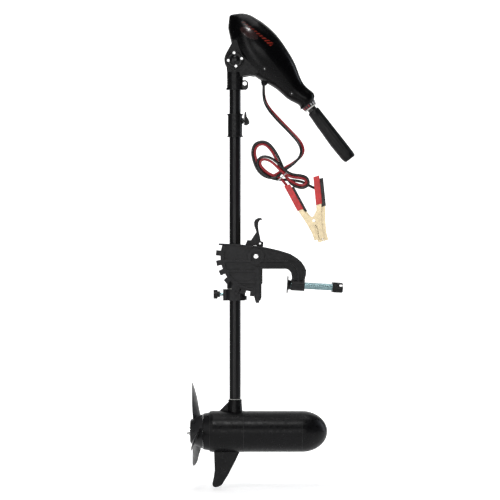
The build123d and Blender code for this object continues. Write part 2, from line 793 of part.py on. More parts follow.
gland_x, gland_low = 3.0, 450.9
with BuildPart() as head_housing:
    add(head_outer)
    add(head_inner, mode=Mode.SUBTRACT)
    for start in (cheek_face, -cheek_gap):
        with BuildSketch(at_y(start)):
            with Locations((shaft_x, hinge_z)):
                Circle(26.3)
            with BuildLine():
                Polyline((-91, 526), (-71, 562), (-40, 560), (-10, 482), (-20, 473.5), (-31, 475.2),
                         (-43, 473), (-55.4, 471.0), (-57, 489), close=True)
            make_face()
        extrude(amount=cheek_face - cheek_gap)
    add(above_seam, mode=Mode.SUBTRACT)
    add(snout_bearing.part)
    with BuildSketch(across(shaft_x, hinge_z, cheek_gap)):
        Circle(22.5)
        with Locations((0, -23)):
            Rectangle(46, 40)
    extrude(amount=2 * cheek_gap, mode=Mode.SUBTRACT)
    with BuildSketch(across(shaft_x, hinge_z, 50)):
        Circle(12 - run_gap)
        with screw_spots():
            Circle(2.0)
    extrude(amount=100, mode=Mode.SUBTRACT)
    with BuildSketch(Plane.XY.offset(440)):
        with Locations((gland_x + 1, 0)):
            Circle(8.0)
    extrude(amount=23, mode=Mode.SUBTRACT)
    with BuildSketch(Plane.XY.offset(440)):
        with Locations((gland_x + 1, 0)):
            Circle(5.5)
    extrude(amount=34, mode=Mode.SUBTRACT)
save(head_housing.part, "head_housing")

with BuildPart() as hinge_discs:
    for side in (-1, 1):
        face = across(shaft_x, hinge_z, side * cheek_face)
        with BuildSketch(face):
            Circle(22.5)
            with screw_spots():
                Circle(2.0, mode=Mode.SUBTRACT)
        extrude(amount=-4.0 * side)
        with BuildSketch(face):
            Circle(8.5)
        extrude(amount=-7.5 * side)
        with BuildSketch(face):
            Circle(12 - run_gap)
        extrude(amount=22.0 * side)
save(hinge_discs.part, "hinge_discs")

with BuildPart() as hinge_screws:
    for side in (-1, 1):
        with BuildSketch(across(shaft_x, hinge_z, side * 25)):
            with screw_spots():
                Circle(2.0)
        extrude(amount=-10 * side)
        with BuildSketch(across(shaft_x, hinge_z, side * (cheek_face + 4))):
            with screw_spots():
                Circle(3.4)
        extrude(amount=-1.8 * side)
save(hinge_screws.part, "hinge_screws")

with BuildPart() as cord_gland:
    with BuildSketch(Plane.XY.offset(gland_low)):
        with Locations((gland_x + 1, 0)):
            Circle(8.0)
    extrude(amount=463 - gland_low)
    with BuildSketch(Plane.XY.offset(463)):
        with Locations((gland_x + 1, 0)):
            Circle(5.5)
    extrude(amount=11)
save(cord_gland.part, "cord_gland")

with BuildPart() as speed_switch:
    with BuildSketch(handle_axis.offset(-210)):
        Circle(17)
    extrude(amount=26.5)
    with BuildSketch(handle_axis.offset(-206)):
        with Locations((0, -20)):
            Rectangle(30, 34)
    extrude(amount=18)
save(speed_switch.part, "speed_switch")

with BuildPart() as scale_ring:
    with BuildSketch(handle_axis.offset(-13)):
        Circle(19.2)
    with BuildSketch(handle_axis.offset(-3.4)):
        Circle(17.2)
    loft()
    with BuildSketch(handle_axis.offset(-13)):
        Circle(sleeve_d / 2 + run_gap)
    extrude(amount=12, mode=Mode.SUBTRACT)
save(scale_ring.part, "scale_ring")

with BuildPart() as throttle_sleeve:
    with BuildSketch(handle_axis.offset(-183)):
        Circle(sleeve_d / 2)
    extrude(amount=180)
    with BuildSketch(handle_axis.offset(-180)):
        Circle(tube_d / 2 + run_gap)
    extrude(amount=180, mode=Mode.SUBTRACT)
save(throttle_sleeve.part, "throttle_sleeve")

with BuildPart() as pointer_ring:
    with BuildSketch(handle_axis.offset(-3)):
        Circle(16.8)
        Circle(tube_d / 2 + run_gap, mode=Mode.SUBTRACT)
    extrude(amount=3)
save(pointer_ring.part, "pointer_ring")

with BuildPart() as handle_tube:
    with BuildSketch(handle_axis.offset(-175)):
        Circle(tube_d / 2)
        Circle(tube_d / 2 - 2, mode=Mode.SUBTRACT)
    extrude(amount=325)
save(handle_tube.part, "handle_tube")

grip_rows = [(7.0, 14.6), (11.0, 15.4), (60.0, 16.6), (115.0, 17.6), (150.0, 17.2), (158.0, 13.6)]
with BuildPart() as grip:
    with BuildSketch(head_side):
        with BuildLine():
            Polyline((-7, 0), *[(-along, radius) for along, radius in grip_rows], (-158, 0), close=True)
        make_face()
    revolve(axis=Axis((axis_x, 0, axis_z), axis_dir))
    with BuildSketch(handle_axis.offset(5)):
        Circle(tube_d / 2)
    extrude(amount=145, mode=Mode.SUBTRACT)
save(grip.part, "grip")

# ================= battery leads =================
red_route = [
    (gland_x, 2.9, gland_low), (2.5, 2.5, 425), (13, -6, 399), (38, -31, 370), (72, -57, 334),
    (97, -71, 306), (101, -76, 280), (75, -83, 258), (50, -91, 245),
]
black_route = [
    (gland_x, -2.9, gland_low), (1.5, -3.5, 425), (9, -14, 398), (32, -38, 366), (66, -62, 331),
    (88, -79, 302), (90, -86, 276), (74, -92, 252), (52, -93, 236),
]
red_tail = [(43, -91, 222), (51, -97, 212), (57.5, -105, 204.4)]
black_tail = [(98, -91, 212), (118, -91, 200), (140.5, -80, 191)]


def bend_radii(route):
    """Largest arc that each corner of a route has room for."""
    radii = []
    for before, corner, after in zip(route, route[1:], route[2:]):
        one, two = Vector(*corner) - Vector(*before), Vector(*after) - Vector(*corner)
        half_turn = radians(one.get_angle(two)) / 2
        radii.append(round(0.45 * min(one.length, two.length) / tan(half_turn), 1))
    return radii


def lead(label, *routes):
    """Tubes of one conductor along its open stretches."""
    with BuildPart() as tube:
        for route in routes:
            radii = bend_radii(route)
            with BuildLine() as path:
                FilletPolyline(*route, radius=radii)
            line = path.wire()
            with BuildSketch(Plane(origin=line @ 0, z_dir=line % 0)) as section:
                Circle(lead_d / 2)
            before = tube.part.volume if tube.part else 0
            sweep(section.sketch, path=line)
            fill = (tube.part.volume - before) / (pi * lead_d**2 / 4 * line.length)
            print(f"{label}: radii {radii}, length {line.length:.1f}, volume ratio {fill:.4f}", flush=True)
    save(tube.part, label)


lead("lead_red", red_route, red_tail)
lead("lead_black", black_route, black_tail)

# the hank hangs between the planes of the two clips, clear of their jaws
hank_front, hank_thick = -98.2, 11.6
with BuildPart() as lead_hank:
    with BuildSketch(at_y(hank_front + hank_thick)):
        with BuildLine():
            Spline((40, 216), (22, 203), (-4, 220), (-22, 246), (-27, 275), (-20, 303), (-4, 316),
                   (14, 310), (28, 290), (38, 262), (46, 246), (58, 246), (66, 234), (88, 228),
                   (108, 221), (112, 212), (102, 204), (80, 205), (60, 211), (50, 214), periodic=True)
        make_face()
    extrude(amount=hank_thick)
save(lead_hank.part, "lead_hank")

with BuildPart() as lead_tie:
    with BuildSketch(Plane(origin=(48, hank_front, 226), x_dir=(0.7, 0, -0.7), z_dir=(0, -1, 0))):
        RectangleRounded(7, 29, 2)
    extrude(amount=1.6)
save(lead_tie.part, "lead_tie")

# ================= battery clips =================
clip_turn = radians(287)  # direction from the rivet to the jaw tips
rivet_r = 2.2
clip_places = {"red": (124.2, -105.0, 117.6), "black": (134.2, -80.0, 112.6)}
strip_edge = [(-100, 43), (-33, 29.5), (2, 19), (27, 13.5), (47, 12.5)]
strip_inner = [(47, 10.9), (27, 11.8), (2, 17.3), (-33, 27.8), (-100, 41.3)]
plate_inner = [(47, 0.6), (38, 0.6), (32, 2.5), (20, 3.5), (12, 1.5), (8, -3.5), (-7, -3.5), (-12, 4),
               (-22, 13), (-40, 19), (-100, 31)]
grip_mouth, grip_end = -101.5, -34.0  # along the clip, from the rivet


def clip_plane(place):
    return Plane(origin=place, x_dir=(cos(clip_turn), 0, sin(clip_turn)), z_dir=(0, -1, 0))


def clip_outline(side, points):
    return [(x, side * y) for x, y in points]


def clip_half(place, side, half_width):
    """One stamped channel lever of a battery clip; side -1 is the left one."""
    with BuildPart() as half:
        with BuildSketch(clip_plane(place).offset(-half_width)):
            with BuildLine():
                Polyline(*clip_outline(side, strip_edge + strip_inner), close=True)
            make_face()
        extrude(amount=2 * half_width)
        for start in (-half_width, half_width - 1.0):
            with BuildSketch(clip_plane(place).offset(start)):
                with BuildLine():
                    Polyline(*clip_outline(side, strip_edge + plate_inner), close=True)
                make_face()
            extrude(amount=1.0)
        # bent-in teeth at the jaw end
        with BuildSketch(clip_plane(place).offset(-half_width)):
            with BuildLine():
                Polyline(*clip_outline(side, [(44.5, 12), (47, 12), (47, 0.6), (44.5, 0.6)]), close=True)
            make_face()
        extrude(amount=2 * half_width)
        with BuildSketch(clip_plane(place).offset(-10)):
            Circle(rivet_r)
        extrude(amount=20, mode=Mode.SUBTRACT)
    return half.part


def clip_grip(place, side, half_width, lever):
    """Vinyl sleeve over a clip handle."""
    with BuildPart() as sleeve:
        with BuildSketch(clip_plane(place).offset(-half_width - 1.2)):
            with BuildLine():
                Polyline(*clip_outline(side, [(grip_mouth, 44.6), (grip_end, 31.2), (grip_end, 16),
                                              (grip_mouth, 29.6)]), close=True)
            make_face()
        extrude(amount=2 * half_width + 2.4)
        fillet(sleeve.edges().filter_by(Axis.Y, reverse=True), 1.4)
        add(lever, mode=Mode.SUBTRACT)
    return sleeve.part


# the lead is crimped to the left lever of the red clip and to the right one of the black clip
for (colour, place), held in zip(clip_places.items(), (-1, 1)):
    lever = clip_half(place, held, 6.2)
    save(lever, f"{colour}_clip_lever")
    jaw = clip_half(place, -held, 4.9)
    save(jaw, f"{colour}_clip_jaw")
    save(clip_grip(place, held, 6.2, lever), f"{colour}_grip_lever")
    save(clip_grip(place, -held, 4.9, jaw), f"{colour}_grip_jaw")

with BuildPart() as clip_rivets:
    for place in clip_places.values():
        with BuildSketch(clip_plane(place).offset(-7.4)):
            Circle(rivet_r - run_gap)
        extrude(amount=14.8)
        for start in (-7.4, 6.2):
            with BuildSketch(clip_plane(place).offset(start)):
                Circle(3.6)
            extrude(amount=1.2)
save(clip_rivets.part, "clip_rivets")
print("done", flush=True)
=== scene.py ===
"""Looks of the transom-mounted electric trolling motor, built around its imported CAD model."""
import bpy
from math import sin, cos, pi, radians
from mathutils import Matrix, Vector


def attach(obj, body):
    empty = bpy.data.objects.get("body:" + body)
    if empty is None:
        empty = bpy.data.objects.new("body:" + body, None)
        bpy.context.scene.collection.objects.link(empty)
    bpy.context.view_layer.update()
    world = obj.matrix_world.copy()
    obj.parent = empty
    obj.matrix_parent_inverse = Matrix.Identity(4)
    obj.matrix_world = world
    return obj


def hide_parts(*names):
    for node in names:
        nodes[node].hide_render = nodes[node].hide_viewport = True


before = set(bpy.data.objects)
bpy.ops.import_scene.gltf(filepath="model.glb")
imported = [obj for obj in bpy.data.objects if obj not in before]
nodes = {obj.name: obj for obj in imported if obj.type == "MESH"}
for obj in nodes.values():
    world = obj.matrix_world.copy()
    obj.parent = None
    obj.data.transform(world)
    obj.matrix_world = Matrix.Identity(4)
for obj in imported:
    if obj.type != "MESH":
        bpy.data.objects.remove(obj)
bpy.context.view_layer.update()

MM = 0.001
AXIS = Vector((0.6088, 0, -0.7933))  # handle axis, from the head to the grip
AXIS_START = Vector((0.1198, 0, 0.3951))  # metres, the pointer ring's face towards the grip

# millimetres
COLUMN_X = -67.5
HINGE_Z = 513.0
SOCKET_TOP_Z = -322.0
MOTOR_Z = -400.0

# metres
FLOOR_Z = -0.5405
SCREW_PITCH = 0.003
WINDING_PITCH = 0.0012


def mesh_piece(name, verts, faces, smooth=True):
    mesh = bpy.data.meshes.new(name)
    mesh.from_pydata([tuple(v) for v in verts], [], faces)
    mesh.update()
    if smooth:
        mesh.shade_smooth()
    obj = bpy.data.objects.new(name, mesh)
    bpy.context.scene.collection.objects.link(obj)
    return obj


# ---------------------------------------------------------------- stage, light and camera
def backdrop():
    """One pale sheet: a wide floor in front that narrows beneath the object, and a wall curving up behind."""
    wall_foot, rise, wall_top = 3.0, 2.5, 9.0
    wide, narrow = 8.0, 3.5
    profile = [(-9.0, 0.0, wide), (-1.2, 0.0, wide), (-0.45, 0.0, narrow), (wall_foot, 0.0, narrow)]
    for angle in range(10, 91, 10):
        a = radians(angle)
        profile.append((wall_foot + rise * sin(a), rise - rise * cos(a), narrow))
    profile.append((wall_foot + rise, wall_top, narrow))
    verts = [(side * half_width, y, FLOOR_Z + z) for side in (-1, 1) for y, z, half_width in profile]
    count = len(profile)
    faces = [(i, i + 1, count + i + 1, count + i) for i in range(count - 1)]
    sheet = mesh_piece("backdrop", verts, faces)
    return sheet


def area_light(name, place, aim, size, size_y, power, colour=(1, 1, 1)):
    """Rectangular light, with its place and size in metres and its power in watts."""
    data = bpy.data.lights.new(name, "AREA")
    data.shape = "RECTANGLE"
    data.size = size
    data.size_y = size_y
    data.energy = power
    data.color = colour
    light = bpy.data.objects.new(name, data)
    light.location = place
    light.rotation_euler = (Vector(aim) - Vector(place)).to_track_quat("-Z", "Y").to_euler()
    bpy.context.scene.collection.objects.link(light)


def camera():
    """Long lens, level and square to the motor's side."""
    data = bpy.data.cameras.new("camera")
    data.sensor_width = 36.0
    data.lens = 234.1
    data.clip_end = 60
    obj = bpy.data.objects.new("camera", data)
    obj.location = (-0.03075, -8.0, 0.04625)
    obj.rotation_euler = (pi / 2, 0, 0)
    bpy.context.scene.collection.objects.link(obj)
    bpy.context.scene.camera = obj


def dim_world():
    world = bpy.data.worlds.new("studio")
    world.use_nodes = True
    background = world.node_tree.nodes["Background"]
    background.inputs["Color"].default_value = (1, 1, 1, 1)
    background.inputs["Strength"].default_value = 0.07
    bpy.context.scene.world = world


camera()
dim_world()
bpy.context.scene.view_settings.view_transform = "Standard"

area_light("front", (-0.5, -8.6, 0.1), (0, 0, 0), 3.6, 3.2, 122)
area_light("strip_left", (-0.98, -1.40, -0.15), (-0.05, 0, -0.05), 0.30, 2.4, 9)
area_light("top", (0.3, 0.1, 3.0), (0, 0, 0.1), 2.0, 2.0, 32)
area_light("shoulder", (-0.5, -3.0, 3.4), (-0.05, 0, 0.5), 0.5, 1.0, 60)
area_light("rim_right", (2.8, 1.0, 0.8), (0, 0, 0.1), 0.5, 2.4, 20, colour=(0.85, 0.9, 1.0))


# ---------------------------------------------------------------- materials
class Graph:
    """Short way to add nodes to a material: inputs are numbers, colours or other sockets."""

    def __init__(self, name):
        self.material = bpy.data.materials.new(name)
        self.material.use_nodes = True
        self.tree = self.material.node_tree
        self.shader = self.tree.nodes["Principled BSDF"]

    def add(self, kind, settings=None, **inputs):
        node = self.tree.nodes.new("ShaderNode" + kind)
        for key, value in (settings or {}).items():
            setattr(node, key, value)
        for key, value in inputs.items():
            self.put(node, key.replace("_", " "), value)
        return node

    def put(self, node, key, value):
        """Sets or links an input, given by its name or as i0, i1 and so on."""
        numbered = key[0] == "i" and key[1:].isdigit()
        socket = node.inputs[int(key[1:])] if numbered else node.inputs[key]
        if isinstance(value, bpy.types.NodeSocket):
            self.tree.links.new(value, socket)
        else:
            socket.default_value = value

    def math(self, operation, *values):
        node = self.add("Math", {"operation": operation})
        for index, value in enumerate(values):
            self.put(node, f"i{index}", value)
        return node.outputs[0]

    def place(self):
        return self.add("TexCoord").outputs["Object"]

    def split(self):
        """X, Y and Z of the place on the object, in metres."""
        parts = self.add("SeparateXYZ", Vector=self.place())
        return parts.outputs[0], parts.outputs[1], parts.outputs[2]

    def noise(self, scale, detail, vector):
        return self.add("TexNoise", Scale=scale, Detail=detail, Roughness=0.5, Vector=vector).outputs[0]

    def band(self, value, low, high, out_low=0.0, out_high=1.0):
        """Smooth step from out_low to out_high as the value goes from low to high."""
        node = self.add("MapRange", {"interpolation_type": "SMOOTHSTEP"})
        for index, item in enumerate((value, low, high, out_low, out_high)):
            self.put(node, f"i{index}", item)
        return node.outputs[0]

    def mix(self, factor, one, two):
        node = self.add("Mix", {"data_type": "RGBA"})
        self.put(node, "i0", factor)
        for index, item in ((6, one), (7, two)):
            self.put(node, f"i{index}", item if isinstance(item, bpy.types.NodeSocket) else (*item, 1))
        return node.outputs[2]


def surface(name, colour, rough, metal=0.0, spread=0.25, mottle=45.0, grain=1400.0, bump=0.06,
            depth=0.0002, edge=0.0006, streak=None, rough_spread=0.08, **fixed):
    """Procedural finish: mottled colour, uneven roughness, fine grain in the bump, softened edges."""
    g = Graph(name)
    where = g.place()
    if streak:
        where = g.add("VectorMath", {"operation": "MULTIPLY"}, i0=where, i1=streak).outputs[0]
    cloud = g.noise(mottle, 4.0, where)
    dark = [c * (1 - spread) for c in colour]
    light = [min(1.0, c * (1 + spread)) for c in colour]
    g.tone = g.mix(g.band(cloud, 0.3, 0.7), dark, light)
    fine = g.noise(grain, 2.0, where)
    g.put(g.shader, "Base Color", g.tone)
    patch = g.noise(mottle * 2.7, 3.0, where)
    smoothest = max(0.03, rough - rough_spread)
    g.put(g.shader, "Roughness", g.band(patch, 0.3, 0.7, smoothest, rough + rough_spread))
    g.shader.inputs["Metallic"].default_value = metal
    for key, value in fixed.items():
        g.shader.inputs[key.replace("_", " ")].default_value = value
    rounded = g.add("Bevel", {"samples": 4}, Radius=edge).outputs[0] if edge else None
    g.last_bump = g.add("Bump", Strength=bump, Distance=depth, Height=fine)
    if rounded:
        g.put(g.last_bump, "Normal", rounded)
    g.put(g.shader, "Normal", g.last_bump.outputs[0])
    return g


def ridged(g, pitch, strength, distance):
    """Adds bands square to X over a finish's grain, like a thread or turns of wire."""
    along = g.split()[0]
    height = g.math("SINE", g.math("MULTIPLY", along, 2 * pi / pitch))
    coarse = g.add("Bump", Strength=strength, Distance=distance, Height=height)
    g.put(coarse, "Normal", g.last_bump.outputs[0])
    g.put(g.shader, "Normal", coarse.outputs[0])


# black plastics and paints, whose look is mostly reflection: the specular level keeps each one dark
DULL = 0.24
satin = surface("satin_black_plastic", (0.005, 0.005, 0.0055), 0.34, bump=0.10, Specular_IOR_Level=DULL)
gloss = surface("gloss_black_cover", (0.0012, 0.0012, 0.0015), 0.26, spread=0.15, bump=0.01,
                rough_spread=0.03, Specular_IOR_Level=0.12)
cast = surface("bracket_composite", (0.010, 0.010, 0.011), 0.38, bump=0.12, edge=0.0013, mottle=80,
               Specular_IOR_Level=DULL)
shaft = surface("shaft_composite", (0.0062, 0.0062, 0.007), 0.28, spread=0.2, bump=0.05, mottle=60, grain=900,
                streak=(1.0, 1.0, 0.04), rough_spread=0.05, Specular_IOR_Level=DULL)
housing = surface("head_housing_plastic", (0.0016, 0.0016, 0.0019), 0.28, bump=0.04, rough_spread=0.03,
                  Specular_IOR_Level=0.16)
pod = surface("motor_paint", (0.003, 0.003, 0.0035), 0.34, bump=0.12, grain=1100, Specular_IOR_Level=0.16)
rubber = surface("grip_rubber", (0.0045, 0.0045, 0.0048), 0.36, bump=0.30, grain=1800,
                 Specular_IOR_Level=DULL)
blade = surface("propeller_plastic", (0.014, 0.014, 0.015), 0.34, bump=0.05, mottle=30,
                Specular_IOR_Level=DULL)
tube = surface("handle_tube_black", (0.008, 0.008, 0.008), 0.35)
scale = surface("scale_ring_black", (0.007, 0.007, 0.0075), 0.38, bump=0.05)
dome = surface("hinge_dome_grey", (0.0015, 0.0015, 0.002), 0.26, bump=0.04, Specular_IOR_Level=0.3)
seam_dark = surface("pod_seam", (0.006, 0.006, 0.006), 0.6, bump=0.05)
window = surface("tinted_window", (0.020, 0.006, 0.006), 0.22, spread=0.3, bump=0.0, rough_spread=0.02,
                 Coat_Weight=0.2, Coat_Roughness=0.2)

# metals
zinc = surface("zinc_plate", (0.23, 0.34, 0.36), 0.26, metal=1.0, spread=0.10, mottle=60, bump=0.03)
steel = surface("bright_steel", (0.45, 0.45, 0.45), 0.20, metal=1.0, spread=0.12, mottle=160, bump=0.05)
brass = surface("plated_jaw", (0.42, 0.35, 0.23), 0.26, metal=1.0, spread=0.06, mottle=60, bump=0.02,
                rough_spread=0.02)
copper = surface("copper_winding", (0.72, 0.30, 0.16), 0.35, metal=1.0, bump=0.3, grain=600)
core = surface("core_steel", (0.35, 0.35, 0.36), 0.45, metal=1.0, bump=0.2)
ridged(zinc, SCREW_PITCH, 0.12, 0.0003)
ridged(copper, WINDING_PITCH, 0.6, 0.0004)

# leads, clips, markings and internal pieces
red_vinyl = surface("red_vinyl", (0.34, 0.012, 0.020), 0.32, spread=0.18, mottle=90, bump=0.05,
                    Subsurface_Weight=0.05, Subsurface_Scale=0.002)
black_vinyl = surface("black_vinyl", (0.006, 0.006, 0.006), 0.30, mottle=90, bump=0.05)
red_grip = surface("red_dipped_vinyl", (0.62, 0.020, 0.022), 0.34, spread=0.15, mottle=70, bump=0.10,
                   depth=0.0003)
black_grip = surface("black_dipped_vinyl", (0.006, 0.006, 0.006), 0.36, bump=0.1)
tie_grey = surface("wire_tie", (0.55, 0.55, 0.55), 0.35, spread=0.08, bump=0.04)
white = surface("white_marking", (0.62, 0.62, 0.60), 0.45, spread=0.06, bump=0.03)
nylon = surface("bush_nylon", (0.55, 0.55, 0.52), 0.45, spread=0.06, bump=0.04)
ferrite = surface("ferrite", (0.05, 0.05, 0.05), 0.7, bump=0.2)


def head_places(g):
    """Distance back from the handle's start along its axis, height above the axis, and Y, in metres."""
    x, y, z = g.split()
    dx = g.math("SUBTRACT", x, AXIS_START.x)
    dz = g.math("SUBTRACT", z, AXIS_START.z)
    along = g.math("ADD", g.math("MULTIPLY", dx, -AXIS.x), g.math("MULTIPLY", dz, -AXIS.z))
    above = g.math("ADD", g.math("MULTIPLY", dx, -AXIS.z), g.math("MULTIPLY", dz, AXIS.x))
    return along, above, y


def cover_graphic(g):
    """Plain slanted dashes in dark red along each side of the cover, fading towards the back."""
    front, back, run_end, dash_pitch = 0.180, 0.270, 0.272, 0.0075
    along, above, _ = head_places(g)
    run = g.band(along, front, run_end)
    middle = g.math("MULTIPLY_ADD", g.math("SUBTRACT", run_end, along), 0.25, -0.006)
    off = g.math("ABSOLUTE", g.math("SUBTRACT", above, middle))
    half_height = g.band(along, 0.178, 0.215, 0.0055, 0.0030)
    strip = g.math("LESS_THAN", off, half_height)
    ends = g.math("MULTIPLY", g.math("GREATER_THAN", along, front), g.math("LESS_THAN", along, back))
    slant = g.math("ADD", along, g.math("MULTIPLY", above, 0.6))
    dash = g.math("GREATER_THAN", g.math("SINE", g.math("MULTIPLY", slant, 2 * pi / dash_pitch)), -0.2)
    mask = g.math("MULTIPLY", g.math("MULTIPLY", strip, ends), dash)
    fade = g.math("MULTIPLY", mask, g.band(along, 0.19, 0.275, 1.0, 0.35))
    ink = g.mix(run, (0.20, 0.020, 0.012), (0.16, 0.03, 0.02))
    g.put(g.shader, "Base Color", g.mix(fade, g.tone, ink))


def scale_marks(g):
    """Plain bars round the speed scale, white in its upper half and red in its lower half."""
    bars_round = 16
    along, above, y = head_places(g)
    angle = g.math("ARCTAN2", above, y)
    bars = g.math("GREATER_THAN", g.math("SINE", g.math("MULTIPLY", angle, bars_round)), 0.25)
    band = g.math("MULTIPLY", g.math("GREATER_THAN", along, 0.0045), g.math("LESS_THAN", along, 0.0105))
    ink = g.mix(g.math("GREATER_THAN", above, 0.001), (0.30, 0.02, 0.03), (0.55, 0.55, 0.56))
    g.put(g.shader, "Base Color", g.mix(g.math("MULTIPLY", bars, band), g.tone, ink))


def paper_with_painted_glow(sheet):
    """Pale paper with a painted glow: its emission is dimmer beneath the object and dimmest in front, so that
    undersides stay dark.
    """
    paper = surface("backdrop_paper_painted_glow", (0.90, 0.90, 0.90), 0.75, spread=0.01, mottle=3, bump=0.02, edge=0,
                    Emission_Color=(1, 1, 1, 1))
    back = paper.split()[1]
    # painted light: the sheet itself glows, fully behind the object, less beneath it and least in front
    painted_glow = paper.math("MULTIPLY", paper.band(back, 0.3, 2.5, 0.45, 1.0),
                      paper.band(back, -1.0, -0.3, 0.15, 1.0))
    paper.put(paper.shader, "Emission Strength", painted_glow)
    sheet.data.materials.append(paper.material)


cover_graphic(gloss)
scale_marks(scale)
paper_with_painted_glow(backdrop())

finishes = [
    (cast, "transom_bracket swivel_housing tension_collar lock_fork release_lever"),
    (satin, "clamp_handle_left clamp_handle_right depth_collar wing_screw head_yoke tension_knob "
            "hinge_discs cord_gland throttle_sleeve transom_pad"),
    (housing, "head_housing"),
    (gloss, "head_cover"),
    (window, "meter_panel"),
    (shaft, "shaft_tube"),
    (pod, "motor_hull nose_cone tail_housing shaft_socket skeg"),
    (blade, "propeller"),
    (zinc, "clamp_screw_left clamp_screw_right tension_screw"),
    (steel, "pivot_bolt lever_pin yoke_bolt hinge_screws rotor_shaft bearings prop_nut clip_rivets"),
    (rubber, "grip clamp_pad_left clamp_pad_right"),
    (tube, "handle_tube"),
    (white, "pointer_ring"),
    (scale, "scale_ring"),
    (nylon, "steering_bushes speed_switch"),
    (ferrite, "magnets"),
    (copper, "armature_windings"),
    (core, "armature_core brush_gear"),
    (brass, "red_clip_lever red_clip_jaw black_clip_lever black_clip_jaw"),
    (red_grip, "red_grip_lever red_grip_jaw"),
    (black_grip, "black_grip_lever black_grip_jaw"),
    (red_vinyl, "lead_red"),
    (black_vinyl, "lead_black lead_hank"),
    (tie_grey, "lead_tie"),
]
for finish, names in finishes:
    for node in names.split():
        nodes[node].material_slots[0].material = finish.material


# ---------------------------------------------------------------- battery leads
LEAD_DIAMETER = 6.6  # millimetres


def cable(name, points, material):
    """Round lead whose centreline is one NURBS spline with these control points, in millimetres."""
    curve = bpy.data.curves.new(name, "CURVE")
    curve.dimensions = "3D"
    spline = curve.splines.new("NURBS")
    spline.points.add(len(points) - 1)
    for point, (x, y, z) in zip(spline.points, points):
        point.co = (x * MM, y * MM, z * MM, 1)
    spline.order_u = 3
    spline.use_endpoint_u = True
    spline.resolution_u = 14
    curve.bevel_depth = LEAD_DIAMETER / 2 * MM
    curve.bevel_resolution = 5
    curve.use_fill_caps = True
    curve.materials.append(material)
    obj = bpy.data.objects.new(name, curve)
    bpy.context.scene.collection.objects.link(obj)
    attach(obj, "head")
    return obj


# from the gland down to the tie
red_route = [
    (3, 2.9, 450.9), (2.5, 2.5, 425), (13, -6, 399), (38, -31, 370), (72, -57, 334), (97, -71, 306),
    (101, -76, 280), (75, -83, 258), (50, -91, 245),
]
black_route = [
    (3, -2.9, 450.9), (1.5, -3.5, 425), (9, -14, 398), (34, -37, 366.5), (68.5, -62, 331), (92, -79, 303),
    (95, -85, 277), (73, -91, 253), (50, -93, 239),
]
# the hank, from the tie and back to it: outer left loop, right loop, inner left loop
red_loops = [
    (36, -91, 231), (20, -90, 226), (5, -89, 233), (-8, -88, 246), (-16, -88, 266), (-20, -88, 285),
    (-15, -88, 299), (-2, -88, 305), (10, -88, 301), (21, -89, 289), (31, -90, 272), (39, -91, 254),
    (46, -92, 238), (57, -94, 223), (71, -95, 212), (86, -95.5, 204.5), (98, -95.5, 203),
    (107, -95.5, 208), (105, -95.5, 217), (95, -95.5, 221), (74, -95, 223), (58, -95, 229), (44, -95, 239),
    (31, -95, 253), (17, -95, 264), (2, -95, 268), (-7, -95, 261), (-5, -95, 250), (6, -95, 239),
    (19, -95, 230), (32, -94, 226),
]
# the black lead goes once more to the right before it leaves for its clip
black_loops = [
    (39, -94.5, 226), (22, -94.5, 220), (2, -93, 226), (-13, -92, 241), (-22, -91, 263), (-26, -91, 286),
    (-20, -91, 304), (-3, -91, 311), (13, -91, 307), (26, -92, 293), (37, -92, 275), (45, -92, 257),
    (52, -90, 240), (57, -90, 224), (68, -92, 208), (84, -95.5, 198.5), (101, -95.5, 196.5),
    (113, -95.5, 206), (109, -95.5, 222), (94, -95.5, 228), (76, -95.5, 229), (61, -95.5, 235),
    (49, -96, 245), (36, -96, 259), (20, -96, 271), (0, -96, 275), (-13, -96, 264), (-11, -96, 247),
    (1, -96, 233), (16, -95, 223), (32, -92, 218), (48, -90, 217), (64, -90, 217), (81, -90, 215),
]
# from the hank to the clips
red_tail = [(43, -91, 222), (51, -97, 212), (57.5, -105, 204.4)]
black_tail = [(98, -90, 212), (118, -90, 200), (140.5, -80, 191)]

red_lead = cable("battery_lead_red", red_route + red_loops + red_tail, red_vinyl.material)
black_lead = cable("battery_lead_black", black_route + black_loops + black_tail, black_vinyl.material)
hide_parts("lead_red", "lead_hank")
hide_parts("lead_black")


def squarish(value):
    """Sine or cosine swelled towards a rounded square."""
    return abs(value) ** 0.75 * (1 if value > 0 else -1)


def hank_tie():
    """Thin band looped round the bundle of leads."""
    middle = Vector((47, -92, 223.5)) * MM
    tall = Vector((0.748, 0, 0.663))
    wide = Vector((0.663, 0, -0.748))
    deep = Vector((0, -1, 0))
    half_height, half_depth, half_width, thickness = 13.6, 8.6, 1.4, 1.0
    section = [(0.0, -half_width), (thickness, -half_width), (thickness, half_width), (0.0, half_width)]
    steps, verts, faces = 72, [], []
    for k in range(steps):
        a = 2 * pi * k / steps
        up, out = squarish(cos(a)), squarish(sin(a))
        for thick, side in section:
            reach = tall * up * (half_height + thick) + deep * out * (half_depth + thick)
            verts.append(middle + (reach + wide * side) * MM)
    for k in range(steps):
        j = (k + 1) % steps
        for i in range(4):
            n = (i + 1) % 4
            faces.append((4 * k + i, 4 * k + n, 4 * j + n, 4 * j + i))
    band = mesh_piece("hank_tie", verts, faces, smooth=False)
    band.data.materials.append(tie_grey.material)
    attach(band, "head")
    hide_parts("lead_tie")
    return band


tie = hank_tie()


# ---------------------------------------------------------------- turned pieces
def closed_rings(name, verts, rings, steps):
    """Smooth closed skin over rings of points that follow one another, each with as many steps."""
    faces = []
    for ring in range(rings - 1):
        for k in range(steps):
            j = (k + 1) % steps
            faces.append((ring * steps + k, ring * steps + j, (ring + 1) * steps + j, (ring + 1) * steps + k))
    faces.append(tuple(reversed(range(steps))))
    faces.append(tuple(range((rings - 1) * steps, rings * steps)))
    return mesh_piece(name, verts, faces)


